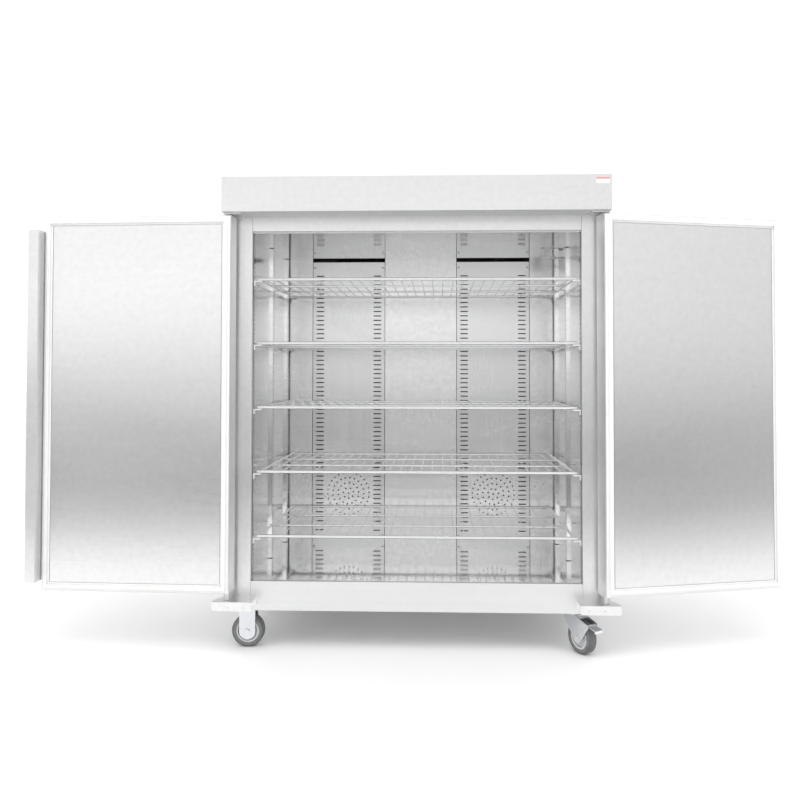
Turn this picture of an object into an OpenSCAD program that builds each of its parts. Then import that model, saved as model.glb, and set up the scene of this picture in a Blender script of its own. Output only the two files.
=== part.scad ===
// Two-door proofing cabinet on casters, both doors swung open, with five wire shelves inside.
// Millimetres, +Z up. The front faces -Y. The origin is on the floor, under the middle of the body.
// Most modules draw the piece on the +X side and a mirror makes its partner.

/* [Overall] */
// Part to draw, or "all"
// Width of the body across its side panels
body_w = 1168; // [980:1:1420]
// Depth of the body, face frame to back panel
body_d = 740; // [630:1:890]
// Height from the floor to the top of the header
total_h = 1450; // [1200:1:1750]

/* [Header] */
// Height of the header box on top
header_h = 106; // [85:1:150]
// How far the header stands out over the doors
header_reach = 80; // [78:1:110]
// How far the header is wider than the body, each side
header_side = 2; // [1:0.5:6]

/* [Face frame] */
// Width of the frame upright from the opening to the side
stile_w = 74; // [66:1:90]
// Width of the side panel's return on the front
side_return = 27; // [15:1:34]
// Height of the frame rail over the opening
rail_h = 46; // [42:1:70]
// Height from the bottom of the body to the opening
sill_h = 90; // [80:1:120]
// Height of the base channel
base_h = 27; // [24:1:34]
// Depth of the frame's fold into the cabinet
jamb_d = 16; // [12:1:20]

/* [Walls] */
// Thickness of the outer skins
skin_t = 1.2; // [0.8:0.1:2]
// Thickness of the frame and rear panel sheets
sheet_t = 1.5; // [1:0.1:2]
// Step from the frame's edge out to the inner wall
wall_step = 8; // [7:0.5:12]
// Thickness of the insulated back wall
back_t = 50; // [35:1:70]
// Depth of the air ducts behind the rear covers
duct_d = 90; // [80:1:120]

/* [Rear covers] */
// Half width of the fixed panel between the two covers
centre_hw = 137.5; // [110:0.5:160]
// Width of one duct cover
cover_w = 278; // [240:1:300]
// Gap between a cover and the panel beside it
cover_gap = 2; // [1:0.5:4]
// Length of an air slot
slot_l = 28.5; // [20:0.5:40]
// Height of an air slot
slot_h = 4; // [2:0.5:6]
// Spacing of the air slots
slot_pitch = 17.2; // [14:0.1:30]
// Distance from a cover's edge to its slots
slot_inset = 14; // [8:1:24]
// Height of the fan above the inner floor
fan_rise = 181; // [120:1:240]
// Outside of the square fan frame
fan_size = 172; // [150:1:180]
// Depth of the fan frame
fan_d = 51; // [45:1:60]
// Spacing of the rings of holes in front of the fan
ring_pitch = 20; // [16:0.5:21]

/* [Shelves] */
// Number of shelves
shelf_n = 5; // [5]
// Height of the lowest shelf above the inner floor
shelf_rise = 131; // [80:1:180]
// Clear run of wall left above the top shelf
shelf_top = 143; // [110:1:200]
// Distance of the shelf's front bar behind the face frame
shelf_front = 40; // [38:1:60]
// Diameter of the front bar
front_bar = 10; // [8:0.5:12]
// Diameter of the other frame bars
frame_bar = 7; // [5:0.5:8]
// Diameter of the cross wires
wire_d = 4; // [3:0.5:5]
// Number of cross wires
wire_n = 30; // [20:1:36]
// Width of a slotted shelf upright
pilaster_w = 24; // [20:1:30]
// Spacing of the holes in the shelf uprights
hole_pitch = 15; // [12:0.5:30]

/* [Doors] */
// Thickness of a door without its gasket
door_t = 55; // [48:1:60]
// Height of the gasket
gasket_t = 11; // [9:0.5:13]
// Width of the gasket
gasket_w = 24; // [18:1:28]
// Gap between the two closed doors
door_gap = 4; // [4:0.5:8]
// Bottom of the doors above the bottom of the body
door_lift = 70; // [64:1:74]
// Gap between the door tops and the header
door_top_gap = 10; // [9:0.5:14]
// Pivot to the door's hinge edge
pivot_in = 14; // [12:0.5:20]
// Pivot to the door's inner face
pivot_back = 31; // [28:0.5:36]
// How far the left door stands open, in degrees
open_left = 182; // [0:1:215]
// How far the right door stands open, in degrees
open_right = 193; // [0:1:215]
// Width of the centre strip carried by the left door
strip_w = 31; // [26:1:36]
// Depth of the centre strip
strip_d = 28; // [20:1:30]
// Length of a pull handle
handle_l = 300; // [180:5:500]

/* [Casters] */
// Height of a caster, floor to mounting plate
caster_h = 125; // [122:1:132]
// Wheel diameter
wheel_d = 100; // [90:1:104]
// Wheel width
wheel_w = 32; // [26:1:34]
// Side of the body to the centre of a fixed caster
fixed_inset = 57; // [50:1:80]
// Side of the body to the centre of a turning caster
swivel_inset = 92; // [80:1:120]
// Front or back of the body to the casters
caster_y = 52; // [46:1:80]
// Offset from the turning axis to the wheel axle
trail = 35; // [30:1:38]
// Heading of the front turning caster, in degrees
turn_front = -58; // [-180:1:180]
// Heading of the rear turning caster, in degrees
turn_rear = -24; // [-180:1:180]

/* [Hidden] */
$fn = 48;
steel = [0.80, 0.81, 0.82];
bright = [0.88, 0.89, 0.90];
foam = [0.90, 0.86, 0.70];
soft_grey = [0.86, 0.86, 0.87];
dark = [0.25, 0.25, 0.27];

// Body
hw = body_w / 2;
top_z = total_h - header_h;
base_z = caster_h;
pan_z = base_z + base_h;
open_hw = hw - stile_w;
open_z0 = base_z + sill_h;
open_z1 = top_z - rail_h;
in_hw = open_hw + wall_step;
floor_z = open_z0 - 3;
ceil_z = open_z1 - 4;
liner_y = body_d - back_t;
duct_y = liner_y - duct_d;
stile_out = hw - side_return - 0.5;
span_hw = open_hw - 0.5;
skin_in = hw - skin_t;
skin_top = top_z - skin_t;
skin_back = body_d - skin_t;

// Rear covers and fans
cover_x0 = centre_hw + cover_gap;
cover_x1 = cover_x0 + cover_w;
cover_z1 = ceil_z - 8;
cover_c = (cover_x0 + cover_x1) / 2;
fan_z = floor_z + fan_rise;
fan_y = duct_y + sheet_t;
fan_bore = fan_size / 2 - 4;
motor_r = 28;
rotor_r = 33;
slot_z0 = floor_z + 38;
slot_n = floor((cover_z1 - 42 - slot_z0) / slot_pitch) + 1;

// Shelves
pilaster_d = wall_step;
pilaster_y = [shelf_front - 4, (shelf_front + duct_y) / 2 - 3, duct_y - 28];
shelf_hw = open_hw - 10;
shelf_z0 = floor_z + shelf_rise;
shelf_step = (ceil_z - shelf_top - shelf_z0) / (shelf_n - 1);
shelf_back = duct_y - 10;
side_bar = frame_bar - 1;
// The front bar sits just lower than the side bars, so that their surfaces cross cleanly
front_rise = front_bar / 2 - side_bar / 2 - 0.3;
clip_drop = side_bar / 2 + 0.6;
wire_span = 2 * (shelf_hw - 14);

// Doors, drawn closed and then swung about the pivot
piv_x = hw - pivot_in;
piv_y = -gasket_t - pivot_back;
door_in = -gasket_t;
// Keeps the arc of the gasket's lip clear of the body as the door swings
lip_in = pivot_in - 4;
door_out = -gasket_t - door_t;
door_x0 = door_gap / 2;
door_z0 = base_z + door_lift;
door_z1 = top_z - door_top_gap;
field_in = gasket_w + 4;
pin_r = 5;
run_fit = 0.06;
bush_r = 11;
bracket_top = pan_z + 18;
bracket_plate = 5;
bracket_drop = 27;
bracket_y = piv_y - 29;
bracket_in = piv_x - 80;
bracket_out = piv_x + 40;

// Casters
wheel_r = wheel_d / 2;
axle_r = 4;
fork_in = wheel_w / 2 + 2;
fork_t = 3;
rigid_x = -(hw - fixed_inset);
swivel_x = hw - swivel_inset;
front_y = caster_y;
rear_y = body_d - caster_y;
plate_t = 3;
race_z = caster_h - plate_t - 8;
crown_z = race_z - 0.3;
crown_t = 5;
pedal_u = trail + 39;
pedal_z = wheel_r + 42;

module placed() {
    translate([0, -body_d / 2, 0]) children();
}

module box(x0, x1, y0, y1, z0, z1) {
    translate([x0, y0, z0]) cube([x1 - x0, y1 - y0, z1 - z0]);
}

module side(s) {
    if (s > 0) children();
    else mirror([1, 0, 0]) children();
}

module both() {
    children();
    mirror([1, 0, 0]) children();
}

// Round bar from x0 to x1 along X
module bar_x(x0, x1, y, z, d) {
    translate([x0, y, z]) rotate([0, 90, 0]) cylinder(d = d, h = x1 - x0);
}

// Round bar from y0 to y1 along Y
module bar_y(x, y0, y1, z, d) {
    translate([x, y0, z]) rotate([-90, 0, 0]) cylinder(d = d, h = y1 - y0);
}

// ---- Outer shell ----

module side_panel(s) {
    color(steel) side(s) {
        union() {
            box(skin_in, hw, 0, skin_back, base_z, skin_top);
            box(stile_out + 0.5, hw, 0, skin_t, base_z, skin_top);
        }
    }
}

module back_panel() {
    color(steel) box(-hw, hw, skin_back, body_d, base_z, skin_top);
}

module roof_panel() {
    color(steel) box(-hw, hw, 0, body_d, skin_top, top_z);
}

// Welded tray with a channel along each side, which the casters bolt to
module base_frame() {
    color(steel) union() {
        box(-span_hw, span_hw, 1, skin_back, pan_z - 2, pan_z);
        box(-skin_in, skin_in, jamb_d, skin_back, pan_z - 2, pan_z);
        box(-span_hw, span_hw, 1, 3, base_z, pan_z);
        box(-span_hw, span_hw, 1, 70, base_z, base_z + 2);
        box(-skin_in, skin_in, skin_back - 2, skin_back, base_z, pan_z);
        box(-skin_in, skin_in, skin_back - 110, skin_back, base_z, base_z + 2);
        both() {
            box(skin_in - 2, skin_in, jamb_d, skin_back, base_z, pan_z);
            box(skin_in - 150, skin_in, jamb_d, skin_back, base_z, base_z + 2);
        }
    }
}

module shell_insulation() {
    color(foam) difference() {
        box(-skin_in, skin_in, jamb_d, skin_back, pan_z, skin_top);
        box(-in_hw - skin_t, in_hw + skin_t, 0, liner_y + skin_t, floor_z - skin_t, ceil_z + skin_t);
    }
}

module liner_side(s) {
    color(bright) side(s) box(in_hw, in_hw + skin_t, jamb_d, liner_y, floor_z, ceil_z);
}

module liner_back() {
    x = in_hw + skin_t;
    color(bright) box(-x, x, liner_y, liner_y + skin_t, floor_z - skin_t, ceil_z + skin_t);
}

module liner_ceiling() {
    x = in_hw + skin_t;
    color(bright) box(-x, x, jamb_d, liner_y, ceil_z, ceil_z + skin_t);
}

module liner_floor() {
    x = in_hw + skin_t;
    color(bright) box(-x, x, jamb_d, liner_y, floor_z - skin_t, floor_z);
}

// ---- Face frame ----

module stile(s) {
    color(bright) side(s) translate([0, 0, base_z]) linear_extrude(skin_top - base_z) union() {
        translate([open_hw, 0]) square([stile_out - open_hw, sheet_t]);
        translate([open_hw, 0]) square([sheet_t, jamb_d]);
        translate([open_hw, jamb_d - sheet_t]) square([wall_step + skin_t + 2, sheet_t]);
    }
}

// A folded rail between the uprights: front sheet, two returns and a hook for the liner
module frame_rail(z0, z1, hook0, hook1) {
    color(bright) union() {
        box(-span_hw, span_hw, 0, sheet_t, z0, z1);
        box(-span_hw, span_hw, 0, jamb_d, z0, z0 + sheet_t);
        box(-span_hw, span_hw, 0, jamb_d, z1 - sheet_t, z1);
        box(-span_hw, span_hw, jamb_d - sheet_t, jamb_d, hook0, hook1);
    }
}

module top_rail() {
    frame_rail(open_z1, skin_top, ceil_z, open_z1 + sheet_t);
}

module sill() {
    frame_rail(pan_z, open_z0, floor_z - skin_t - 2, open_z0);
}

// ---- Header ----

module header_front() {
    x = hw + header_side;
    xi = x - skin_t;
    color(bright) union() {
        box(-x, x, -header_reach, -header_reach + skin_t, top_z, total_h);
        box(-xi, xi, -header_reach, jamb_d, top_z, top_z + skin_t);
        box(-xi, xi, -header_reach, -header_reach + 30, total_h - 2 * skin_t, total_h - skin_t);
    }
}

module header_cover() {
    x = hw + header_side;
    y0 = -header_reach + skin_t;
    color(steel) union() {
        box(-x, x, y0, body_d, total_h - skin_t, total_h);
        box(-x, x, body_d - skin_t, body_d, top_z, total_h);
        both() {
            box(x - skin_t, x, y0, body_d, top_z, total_h);
            box(x - 24, x, jamb_d + 2, body_d, top_z, top_z + skin_t);
        }
    }
}

// Electrical box under the header, with two cable glands
module control_box() {
    color(dark) union() {
        box(-160, 160, 180, 400, top_z, top_z + 62);
        box(-154, 154, 186, 394, top_z + 62, top_z + 66);
        for (x = [-60, 60]) bar_y(x, 395, 414, top_z + 30, 22);
    }
}

// ---- Rear wall, ducts, fans and heaters ----

module rear_panels() {
    color(bright) union() {
        both() {
            box(cover_x1 + cover_gap, in_hw, duct_y, duct_y + sheet_t, floor_z, ceil_z);
            box(cover_x1 + cover_gap, cover_x1 + cover_gap + sheet_t, duct_y, liner_y, floor_z, ceil_z);
        }
        union() {
            box(-centre_hw, centre_hw, duct_y, duct_y + sheet_t, floor_z, ceil_z);
            both() box(centre_hw - sheet_t, centre_hw, duct_y, liner_y, floor_z, ceil_z);
        }
    }
}

module slot_column(x) {
    for (i = [0:slot_n - 1]) translate([x, slot_z0 + i * slot_pitch]) square([slot_l, slot_h]);
}

module fan_holes() {
    circle(d = 5.5, $fn = 16);
    for (ring = [1:4]) {
        for (i = [0:7 * ring - 1]) rotate(i * 360 / (7 * ring) + ring * 9)
            translate([ring * ring_pitch, 0]) circle(d = 5.5, $fn = 16);
    }
}

module duct_cover(s) {
    color(bright) side(s) union() {
        translate([0, duct_y + sheet_t, 0]) rotate([90, 0, 0]) linear_extrude(sheet_t) difference() {
            translate([cover_x0, floor_z]) square([cover_w, cover_z1 - floor_z]);
            slot_column(cover_x0 + slot_inset);
            slot_column(cover_x1 - slot_inset - slot_l);
            translate([cover_c, fan_z]) fan_holes();
        }
        box(cover_x0, cover_x0 + sheet_t, duct_y, duct_y + 20, floor_z, cover_z1);
        box(cover_x1 - sheet_t, cover_x1, duct_y, duct_y + 20, floor_z, cover_z1);
    }
}

module fan_frame() {
    translate([cover_c, fan_y, fan_z]) rotate([-90, 0, 0]) union() {
        difference() {
            translate([-fan_size / 2, -fan_size / 2, 0]) cube([fan_size, fan_size, fan_d]);
            translate([0, 0, -1]) cylinder(r = fan_bore, h = fan_d + 2);
        }
        difference() {
            union() {
                translate([0, 0, 16]) cylinder(r = motor_r, h = fan_d - 16);
                for (a = [90, 210, 330]) rotate(a) translate([0, -4, fan_d - 6]) cube([fan_bore + 2, 8, 6]);
            }
            translate([0, 0, 15]) cylinder(r = 3 + run_fit, h = fan_d - 21);
        }
    }
}

module fan_frames() {
    color(dark) both() fan_frame();
}

// Cup and shaft with seven pitched blades
module fan_rotor(s) {
    color([0.12, 0.12, 0.13]) side(s) translate([cover_c, fan_y, fan_z]) rotate([-90, 0, 0]) union() {
        difference() {
            translate([0, 0, 8]) cylinder(r = rotor_r, h = 32);
            translate([0, 0, 13]) cylinder(r = motor_r + 2, h = 40);
        }
        translate([0, 0, 10]) cylinder(r = 3, h = 30);
        for (i = [0:6]) rotate(i * 360 / 7) translate([rotor_r - 2, 0, 24]) rotate([38, 0, 0])
            translate([0, -18, -1]) cube([fan_bore - rotor_r - 6, 36, 2]);
    }
}

// Hairpin heater rod on a block that is fixed to the duct's back wall
module heater() {
    z0 = fan_z + fan_size / 2 + 30;
    z1 = z0 + 320;
    y = liner_y - 38;
    union() {
        box(cover_c - 50, cover_c + 50, y - 12, liner_y, z0, z0 + 20);
        for (x = [-30, 30]) translate([cover_c + x, y, z0 + 10]) cylinder(d = 9, h = z1 - z0 - 10);
        translate([cover_c, y, z1]) rotate([90, 0, 0]) rotate_extrude(angle = 180)
            translate([30, 0]) circle(d = 9, $fn = 24);
    }
}

module heaters() {
    color([0.42, 0.40, 0.38]) both() heater();
}

// ---- Shelf uprights, clips and shelves ----

module pilaster(y) {
    z0 = floor_z + 2;
    z1 = ceil_z - 2;
    n = floor((z1 - z0 - 60) / hole_pitch) + 1;
    x0 = in_hw - pilaster_d;
    union() {
        translate([x0, y, 0]) rotate([90, 0, 90]) linear_extrude(sheet_t) difference() {
            translate([-pilaster_w / 2, z0]) square([pilaster_w, z1 - z0]);
            for (i = [0:n - 1]) translate([-4, z0 + 28 + i * hole_pitch]) square([8, 5]);
        }
        for (e = [-pilaster_w / 2, pilaster_w / 2 - sheet_t])
            box(x0, in_hw, y + e, y + e + sheet_t, z0, z1);
    }
}

module pilasters() {
    color(steel) both() for (y = pilaster_y) pilaster(y);
}

module shelf_clips() {
    x = in_hw - pilaster_d;
    color(soft_grey) both() for (y = pilaster_y) for (i = [0:shelf_n - 1]) {
        z = shelf_z0 + i * shelf_step - clip_drop;
        union() {
            box(x - 22, x, y - 8, y + 8, z - 3, z);
            box(x - 2, x, y - 8, y + 8, z - 16, z - 1);
        }
    }
}

module wire_shelf(k) {
    z = shelf_z0 + (shelf_n - k) * shelf_step;
    y0 = shelf_front;
    dy = (shelf_back - y0) / 3;
    lift = frame_bar / 2 + 0.9;
    color([0.93, 0.94, 0.95]) union() {
        bar_x(-shelf_hw, shelf_hw, y0, z + front_rise, front_bar);
        for (i = [1:3]) bar_x(-shelf_hw, shelf_hw, y0 + i * dy, z, frame_bar);
        for (s = [-1, 1]) bar_y(s * (shelf_hw - 5), y0, shelf_back, z, side_bar);
        for (i = [0:wire_n - 1])
            bar_y(-wire_span / 2 + i * wire_span / (wire_n - 1), y0, shelf_back, z + lift, wire_d);
    }
}

// ---- Air probe on the ceiling, with its lead to the side wall ----

module air_probe() {
    px = in_hw - 53;
    py = duct_y * 0.72;
    pz = ceil_z - 18;
    r = 28;
    color([0.95, 0.95, 0.94]) union() {
        box(px - 10, px + 10, py - 6, py + 6, pz - 7, ceil_z);
        bar_x(px - 24, px + 23.5, py, pz, 8);
        translate([px + 23, py + r, pz]) rotate(-90) rotate_extrude(angle = 91)
            translate([r, 0]) circle(d = 3, $fn = 16);
        bar_x(in_hw - 8, in_hw, py + r, pz, 12);
    }
}

// ---- Doors ----

// Swings a closed door open about its pivot
module swung(s) {
    a = s > 0 ? open_right : -open_left;
    translate([s * piv_x, piv_y, 0]) rotate(a) translate([-s * piv_x, -piv_y, 0]) side(s) children();
}

module pin_hole(r) {
    translate([piv_x, piv_y, door_z0 - 40]) cylinder(r = r, h = door_z1 - door_z0 + 80);
}

// Folded pan, open towards the cabinet, with the two pivot bushes
module door_skin(s) {
    color(steel) swung(s) union() {
        difference() {
            box(door_x0, hw, door_out, door_in, door_z0, door_z1);
            box(door_x0 + skin_t, skin_in, door_out + skin_t, door_in + 1, door_z0 + skin_t, door_z1 - skin_t);
            pin_hole(bush_r);
        }
        for (z = [door_z0 - 2, door_z1 - 1])
            box(door_x0 + 18, door_x0 + 88, door_out + 8, door_in - 10, z, z + 3);
        difference() {
            union() {
                translate([piv_x, piv_y, bracket_top + 0.4])
                    cylinder(r = bush_r, h = door_z0 + 26 - bracket_top - 0.4);
                translate([piv_x, piv_y, door_z1 - 26]) cylinder(r = bush_r, h = 28);
                translate([piv_x, piv_y, door_z0 - 3]) cylinder(r = bush_r + 2, h = 3.5);
                translate([piv_x, piv_y, door_z1 - 0.5]) cylinder(r = bush_r + 2, h = 2.5);
            }
            pin_hole(pin_r + run_fit);
        }
    }
}

module door_liner(s) {
    zi = door_z0 + skin_t;
    zo = door_z1 - skin_t;
    x0 = door_x0 + field_in;
    x1 = hw - field_in;
    z0 = door_z0 + field_in;
    z1 = door_z1 - field_in;
    color(bright) swung(s) difference() {
        union() {
            box(door_x0 + skin_t, skin_in, door_in - skin_t, door_in, zi, zo);
            box(x0, x1, door_in - skin_t, door_in + 3, z0, z1);
        }
        box(x0 + skin_t, x1 - skin_t, door_in - 2 * skin_t, door_in + 3 - skin_t, z0 + skin_t, z1 - skin_t);
    }
}

module door_foam(s) {
    x0 = door_x0 + field_in + skin_t;
    x1 = hw - field_in - skin_t;
    z0 = door_z0 + field_in + skin_t;
    z1 = door_z1 - field_in - skin_t;
    color(foam) swung(s) difference() {
        union() {
            box(door_x0 + skin_t, skin_in, door_out + skin_t, door_in - skin_t,
                door_z0 + skin_t, door_z1 - skin_t);
            box(x0, x1, door_in - 2 * skin_t, door_in + 3 - skin_t, z0, z1);
        }
        pin_hole(bush_r + 0.5);
    }
}

module ring(inset, w, y0, y1) {
    difference() {
        box(door_x0 + inset, hw - inset, y0, y1, door_z0 + inset, door_z1 - inset);
        box(door_x0 + inset + w, hw - inset - w, y0 - 1, y1 + 1, door_z0 + inset + w, door_z1 - inset - w);
    }
}

// Soft frame with a wide foot and a narrower sealing lip
module door_gasket(s) {
    color(soft_grey) swung(s) union() {
        ring(2, gasket_w, door_in, door_in + 4);
        ring(lip_in, gasket_w - lip_in - 3, door_in, -0.6);
    }
}

module door_handle(s) {
    x = door_x0 + 45;
    zc = (door_z0 + door_z1) / 2;
    color(bright) swung(s) union() {
        translate([x, door_out - 36, zc - handle_l / 2]) cylinder(d = 18, h = handle_l);
        for (z = [zc - handle_l / 2 + 24, zc + handle_l / 2 - 24]) {
            bar_y(x, door_out - 36, door_out, z, 14);
            bar_y(x, door_out - 4, door_out, z, 30);
        }
    }
}

// Square centre strip on the left door's free edge; the right door's gasket closes on it
module astragal() {
    z0 = open_z0 + 12;
    z1 = ceil_z - 4;
    e = -door_x0;
    color(bright) swung(-1) mirror([1, 0, 0]) union() {
        difference() {
            box(e, e + strip_w, 0.2, strip_d, z0, z1);
            box(e + sheet_t, e + strip_w - sheet_t, 0.2 + sheet_t, strip_d - sheet_t, z0 - 1, z1 + 1);
        }
        box(e, e + strip_w, 0.2, strip_d, z0, z0 + 2);
        box(e, e + strip_w, 0.2, strip_d, z1 - 2, z1);
        box(e, e + sheet_t, door_out + 20, 1, z0, z1);
        for (z = [z0 + 60, (z0 + z1) / 2, z1 - 60]) bar_x(e, e + sheet_t + 1, door_out + 30, z, 9);
    }
}

// ---- Hinge brackets, pins and screws ----

module bottom_bracket() {
    z0 = bracket_top - bracket_drop;
    sx = [bracket_in + 23, bracket_in + 71];
    difference() {
        union() {
            translate([0, 0, bracket_top - bracket_plate]) linear_extrude(bracket_plate) polygon([
                [bracket_in, 0], [bracket_in, bracket_y], [bracket_out, bracket_y],
                [bracket_out, bracket_y + 20], [bracket_out - 24, 0]
            ]);
            translate([0, bracket_y + 4, 0]) rotate([90, 0, 0]) linear_extrude(4) union() {
                translate([bracket_in, z0 + 6]) square([bracket_out - bracket_in, bracket_drop - 6]);
                translate([bracket_in + 6, z0]) square([bracket_out - bracket_in - 12, bracket_drop]);
                translate([bracket_in + 6, z0 + 6]) circle(r = 6);
                translate([bracket_out - 6, z0 + 6]) circle(r = 6);
            }
            box(bracket_in, bracket_out - 28, -4, 0, z0, bracket_top);
        }
        translate([piv_x, piv_y, bracket_top - 20]) cylinder(r = pin_r + 0.02, h = 40);
        for (x = sx) bar_y(x, bracket_y - 1, bracket_y + 6, z0 + 13, 6);
    }
}

module hinge_brackets() {
    color(steel) both() {
        bottom_bracket();
        box(piv_x - 40, hw, piv_y - 22, 0, top_z - 4, top_z);
    }
}

module hinge_fasteners() {
    z0 = bracket_top - bracket_plate;
    color([0.6, 0.6, 0.62]) both() {
        translate([piv_x, piv_y, z0 - 3]) union() {
            cylinder(r = 8, h = 3);
            cylinder(r = pin_r, h = bracket_plate + 3 + 46);
        }
        translate([piv_x, piv_y, top_z - 33]) union() {
            cylinder(r = pin_r, h = 29);
            translate([0, 0, 26]) cylinder(r = 8, h = 3);
        }
        for (x = [bracket_in + 23, bracket_in + 71])
            bar_y(x, -7.5, -4, bracket_top - bracket_drop + 13, 9);
    }
}

// ---- Casters ----

// Solid of revolution about the wheel axle, which lies along Y
module axle_turned(r0, r1, w, bevel) {
    rotate([90, 0, 0]) rotate_extrude($fn = 72) polygon([
        [r0, -w / 2], [r1 - bevel, -w / 2], [r1, -w / 2 + bevel],
        [r1, w / 2 - bevel], [r1 - bevel, w / 2], [r0, w / 2]
    ]);
}

module hub() {
    color([0.82, 0.83, 0.84]) union() {
        axle_turned(wheel_r - 19, wheel_r - 14, wheel_w - 4, 0.5);
        axle_turned(axle_r + 2, wheel_r - 17, 8, 0.5);
        axle_turned(axle_r + run_fit, 12, wheel_w + 2, 1);
    }
}

module tyre() {
    color([0.42, 0.43, 0.44]) axle_turned(wheel_r - 14, wheel_r, wheel_w, 4);
}

module axle() {
    bar_y(0, -fork_in - fork_t, fork_in + fork_t, 0, 2 * axle_r);
    for (y = [-fork_in - fork_t - 5, fork_in + fork_t]) bar_y(0, y, y + 5, 0, 15);
}

// Straight fork; the wheel rolls along the cabinet's width
module rigid_fork() {
    union() {
        translate([-50, -40, caster_h - plate_t]) cube([100, 80, plate_t]);
        for (y = [-fork_in - fork_t, fork_in]) difference() {
            union() {
                translate([-25, y, wheel_r]) cube([50, fork_t, caster_h - wheel_r - 1]);
                bar_y(0, y, y + fork_t, wheel_r, 50);
            }
            bar_y(0, y - 1, y + fork_t + 1, wheel_r, 2 * axle_r + 0.04);
        }
    }
    translate([0, 0, wheel_r]) union() axle();
}

module rigid_forks() {
    color(bright) for (y = [front_y, rear_y]) translate([rigid_x, y, 0]) rigid_fork();
}

// Mounting plate with its raised race and kingpin
module swivel_plate() {
    union() {
        translate([-50, -40, caster_h - plate_t]) cube([100, 80, plate_t]);
        translate([0, 0, race_z]) cylinder(r = 26, h = 9);
        translate([0, 0, crown_z - crown_t - 4]) cylinder(r = 6, h = 16);
        translate([0, 0, crown_z - crown_t - 5]) cylinder(r = 10, h = 4.7);
    }
}

module swivel_plates() {
    color(steel) for (y = [front_y, rear_y]) translate([swivel_x, y, 0]) swivel_plate();
}

module on_swivel(y, turn) {
    translate([swivel_x, y, 0]) rotate(turn) children();
}

module fork_leg(y) {
    translate([0, y + fork_t, 0]) rotate([90, 0, 0]) linear_extrude(fork_t) difference() {
        union() {
            polygon([
                [-24, crown_z], [-24, crown_z - 14], [trail - 16, wheel_r - 6],
                [trail + 16, wheel_r - 6], [pedal_u + 8, pedal_z - 4],
                [pedal_u + 8, pedal_z + 6], [30, crown_z]
            ]);
            translate([trail, wheel_r]) circle(r = 17);
        }
        translate([trail, wheel_r]) circle(r = axle_r + 0.02);
        translate([pedal_u, pedal_z]) circle(r = 2.6);
    }
}

module swivel_fork(y, turn) {
    color(bright) on_swivel(y, turn) {
        union() {
            difference() {
                translate([-26, -fork_in - fork_t, crown_z - crown_t])
                    cube([56, 2 * (fork_in + fork_t), crown_t]);
                translate([0, 0, crown_z - 20]) cylinder(r = 6 + run_fit, h = 40);
            }
            fork_leg(-fork_in - fork_t);
            fork_leg(fork_in);
        }
        translate([trail, 0, wheel_r]) union() axle();
    }
}

module wheel_at(x, y) {
    translate([x, y, wheel_r]) children();
}

module swivel_wheel_at(y, turn) {
    on_swivel(y, turn) translate([trail, 0, wheel_r]) children();
}

// Foot pedal on its own cross pin, above the tyre
module brake_pedal(y, turn) {
    w = fork_in - 1.5;
    color([0.75, 0.76, 0.78]) on_swivel(y, turn) translate([pedal_u, 0, pedal_z]) union() {
        bar_y(0, -w, w, 0, 10);
        bar_y(0, -fork_in - fork_t - 2, fork_in + fork_t + 2, 0, 5);
        rotate([0, 12, 0]) translate([0, w - 1, 0]) rotate([90, 0, 0]) linear_extrude(2 * w - 2)
            polygon([[0, 0.8], [33, 0.8], [33, -5], [36, -5], [36, 3.8], [0, 3.8]]);
    }
}

placed() side_panel(-1);  // side_panel_left
placed() side_panel(1);  // side_panel_right
placed() back_panel();
placed() roof_panel();
placed() base_frame();
placed() shell_insulation();
placed() liner_side(-1);  // liner_left
placed() liner_side(1);  // liner_right
placed() liner_back();
placed() liner_ceiling();
placed() liner_floor();
placed() stile(-1);  // stile_left
placed() stile(1);  // stile_right
placed() top_rail();
placed() sill();
placed() header_front();
placed() header_cover();
placed() control_box();
placed() rear_panels();
placed() duct_cover(-1);  // duct_cover_left
placed() duct_cover(1);  // duct_cover_right
placed() fan_frames();
placed() heaters();
placed() pilasters();
placed() shelf_clips();
placed() air_probe();
placed() hinge_brackets();
placed() hinge_fasteners();
placed() rigid_forks();
placed() swivel_plates();
placed() fan_rotor(-1);  // fan_rotor_left
placed() fan_rotor(1);  // fan_rotor_right
placed() wire_shelf(1);  // wire_shelf_1
placed() wire_shelf(2);  // wire_shelf_2
placed() wire_shelf(3);  // wire_shelf_3
placed() wire_shelf(4);  // wire_shelf_4
placed() wire_shelf(5);  // wire_shelf_5
placed() door_skin(-1);  // door_left_skin
placed() door_liner(-1);  // door_left_liner
placed() door_foam(-1);  // door_left_foam
placed() door_gasket(-1);  // door_left_gasket
placed() door_handle(-1);  // door_left_handle
placed() astragal();
placed() door_skin(1);  // door_right_skin
placed() door_liner(1);  // door_right_liner
placed() door_foam(1);  // door_right_foam
placed() door_gasket(1);  // door_right_gasket
placed() door_handle(1);  // door_right_handle
placed() wheel_at(rigid_x, front_y) hub();  // hub_rigid_front
placed() wheel_at(rigid_x, front_y) tyre();  // tyre_rigid_front
placed() wheel_at(rigid_x, rear_y) hub();  // hub_rigid_rear
placed() wheel_at(rigid_x, rear_y) tyre();  // tyre_rigid_rear
placed() swivel_fork(front_y, turn_front);  // swivel_fork_front
placed() swivel_wheel_at(front_y, turn_front) hub();  // hub_swivel_front
placed() swivel_wheel_at(front_y, turn_front) tyre();  // tyre_swivel_front
placed() brake_pedal(front_y, turn_front);  // brake_pedal_front
placed() swivel_fork(rear_y, turn_rear);  // swivel_fork_rear
placed() swivel_wheel_at(rear_y, turn_rear) hub();  // hub_swivel_rear
placed() swivel_wheel_at(rear_y, turn_rear) tyre();  // tyre_swivel_rear
placed() brake_pedal(rear_y, turn_rear);  // brake_pedal_rear
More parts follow.
